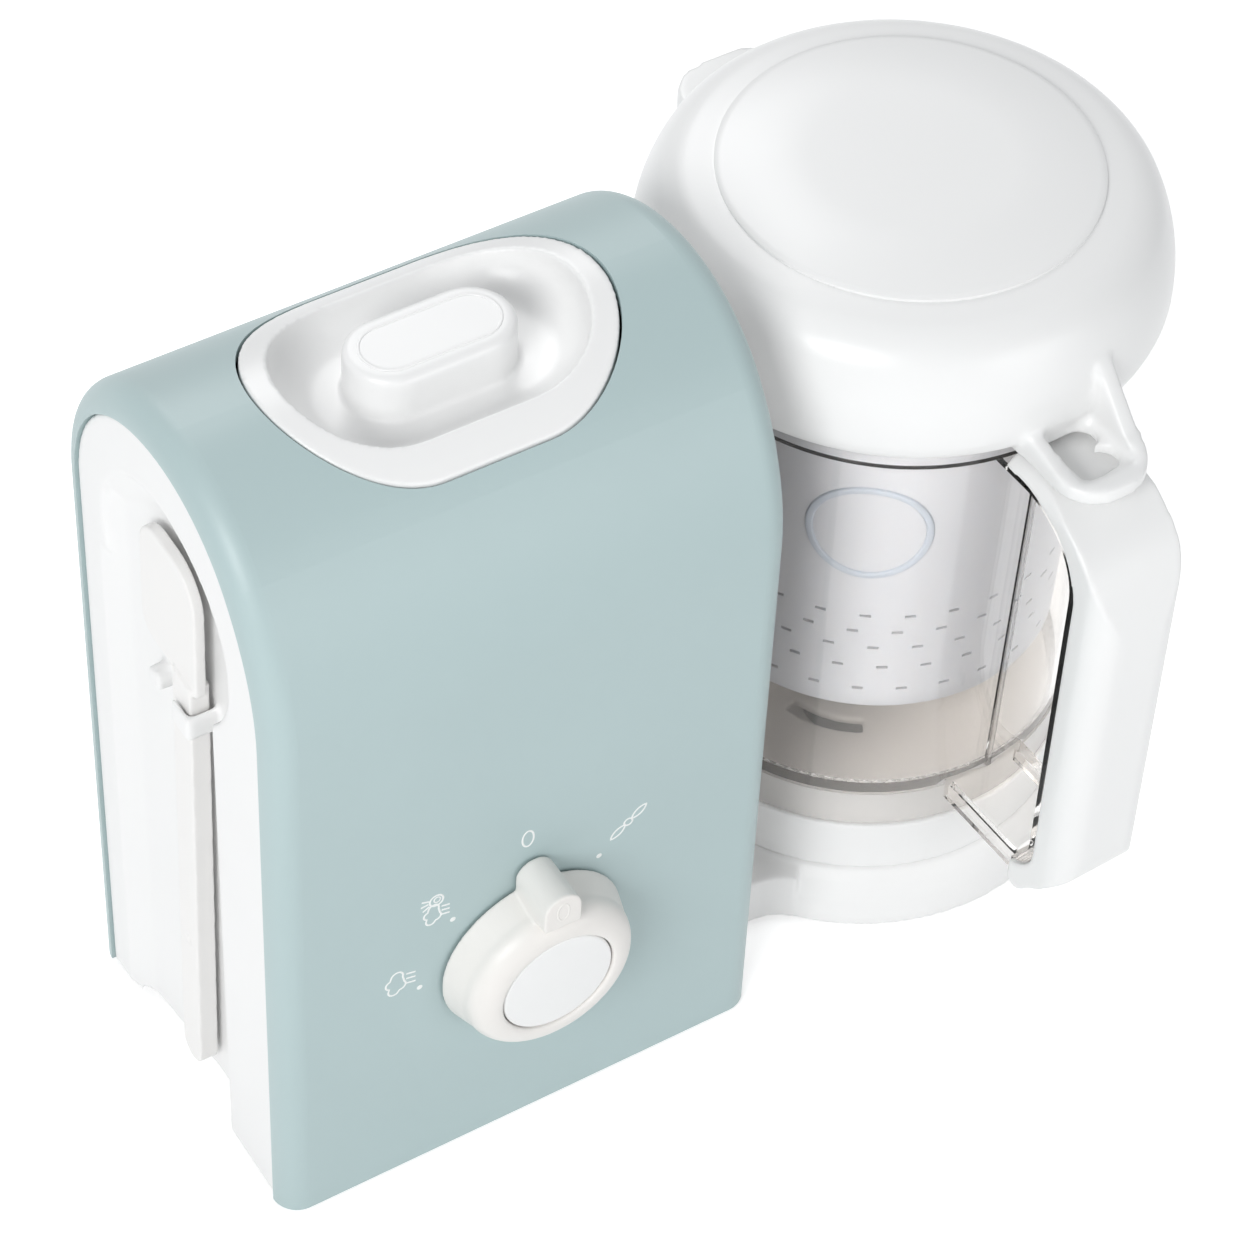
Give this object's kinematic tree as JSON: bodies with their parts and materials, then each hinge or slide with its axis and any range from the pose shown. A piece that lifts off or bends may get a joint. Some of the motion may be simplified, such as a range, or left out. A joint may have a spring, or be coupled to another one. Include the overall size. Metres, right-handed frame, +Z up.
{
  "type": "baby food maker",
  "caption": "Countertop steam cooker and blender for small portions: arched housing with a water tank and mode knob, and a lift-off clear bowl with lid, steam basket and blade.",
  "frame": {"origin": "middle of the overall box on the surface that the feet stand on", "axes": "+X from the housing to the bowl, +Y to the back, +Z up"},
  "size_m": [0.2806, 0.1854, 0.2376],
  "materials": {
    "shell_teal": "fine satin moulding, grey teal",
    "white_plastic": "satin white moulding",
    "gloss_white": "smooth semi-gloss white",
    "warm_white": "satin warm white",
    "bowl_clear": "clear copolyester with a faint warm tint",
    "basket_frosted": "frosted translucent polypropylene",
    "tank_frosted": "frosted translucent polypropylene",
    "dark_plastic": "black moulding",
    "rubber_grey": "soft grey rubber",
    "rubber_black": "reinforced rubber belt",
    "silicone": "translucent white silicone",
    "steel": "bright stainless steel",
    "cast_alloy": "cast and turned aluminium",
    "bronze": "sintered bronze",
    "board_green": "green solder mask"
  },
  "bodies": {
    "housing": {"shell": "shell_teal", "panel_left": "white_plastic", "panel_right": "white_plastic", "inner_frame": "white_plastic", "base_cover": "white_plastic", "base_plate": "white_plastic", "seat_ring": "white_plastic", "seat_plate": "white_plastic", "feet": "rubber_grey", "base_screws": "steel", "tank": "tank_frosted", "boiler": "cast_alloy", "thermostat": "steel", "steam_tube": "silicone", "steam_nozzle": "silicone", "switch_body": "dark_plastic", "circuit_board": "board_green", "motor": "cast_alloy", "belt": "rubber_black", "drive_bearing": "bronze", "power_inlet": "dark_plastic", "bowl_sensor": "dark_plastic"},
    "cap": {"tank_cap": "white_plastic", "cap_seal": "silicone"},
    "knob": {"knob": "warm_white", "knob_shaft": "steel", "button_spring": "steel"},
    "button": {"button": "gloss_white"},
    "bowl": {"bowl": "bowl_clear", "grip": "gloss_white", "grip_screw": "steel", "bowl_magnet": "steel", "hub_nut": "white_plastic", "shaft_seal": "silicone"},
    "seal": {"lid_seal": "silicone"},
    "lid": {"lid": "gloss_white"},
    "basket": {"basket": "basket_frosted"},
    "blade": {"blade_shaft": "steel", "blade_hub": "white_plastic", "blade_steel": "steel"},
    "drive": {"drive_pulley": "dark_plastic", "drive_shaft": "steel", "drive_coupling": "dark_plastic"},
    "motor_rotor": {"motor_pulley": "steel"},
    "spatula": {"spatula": "warm_white"}
  },
  "joints": [
    {"name": "knob_turn", "type": "hinge", "parent": "housing", "child": "knob", "pos_m": [-0.0679, -0.0499, 0.0698], "axis": [0, 1, 0], "range_deg": [-86, 43]},
    {"name": "button_press", "type": "slide", "parent": "knob", "child": "button", "axis": [0, 1, 0], "range_m": [0, 0.0015], "stiffness_N_per_m": 400, "springref_m": -0.0005},
    {"name": "cap_lift", "type": "slide", "parent": "housing", "child": "cap", "axis": [0, 0, 1], "range_m": [0, 0.06]},
    {"name": "bowl_lift", "type": "slide", "parent": "housing", "child": "bowl", "axis": [0, 0, 1], "range_m": [0, 0.15]},
    {"name": "lid_lift", "type": "slide", "parent": "bowl", "child": "seal", "axis": [0, 0, 1], "range_m": [0, 0.22]},
    {"name": "lid_turn", "type": "hinge", "parent": "seal", "child": "lid", "pos_m": [0.0727, 0.0115, 0.1818], "axis": [0, 0, 1], "range_deg": [0, 22]},
    {"name": "basket_lift", "type": "slide", "parent": "bowl", "child": "basket", "axis": [0, 0, 1], "range_m": [0, 0.11]},
    {"name": "drive_spin", "type": "hinge", "parent": "housing", "child": "drive", "pos_m": [0.0727, 0.0115, 0.0218], "axis": [0, 0, 1], "continuous": true},
    {"name": "motor_spin", "type": "hinge", "parent": "housing", "child": "motor_rotor", "pos_m": [-0.0499, 0.0115, 0.0118], "axis": [0, 0, 1], "continuous": true},
    {"name": "blade_spin", "type": "hinge", "parent": "bowl", "child": "blade", "pos_m": [0.0727, 0.0115, 0.0518], "axis": [0, 0, 1], "continuous": true},
    {"name": "spatula_slide", "type": "slide", "parent": "housing", "child": "spatula", "axis": [0, 0.9994, 0.0349], "range_m": [0, 0.0075]}
  ],
  "couplings": [
    {"joint": "motor_spin", "follows": "drive_spin", "ratio": 3},
    {"joint": "blade_spin", "follows": "drive_spin", "ratio": 1},
    {"joint": "basket_lift", "follows": "lid_lift", "ratio": 0.5}
  ]
}
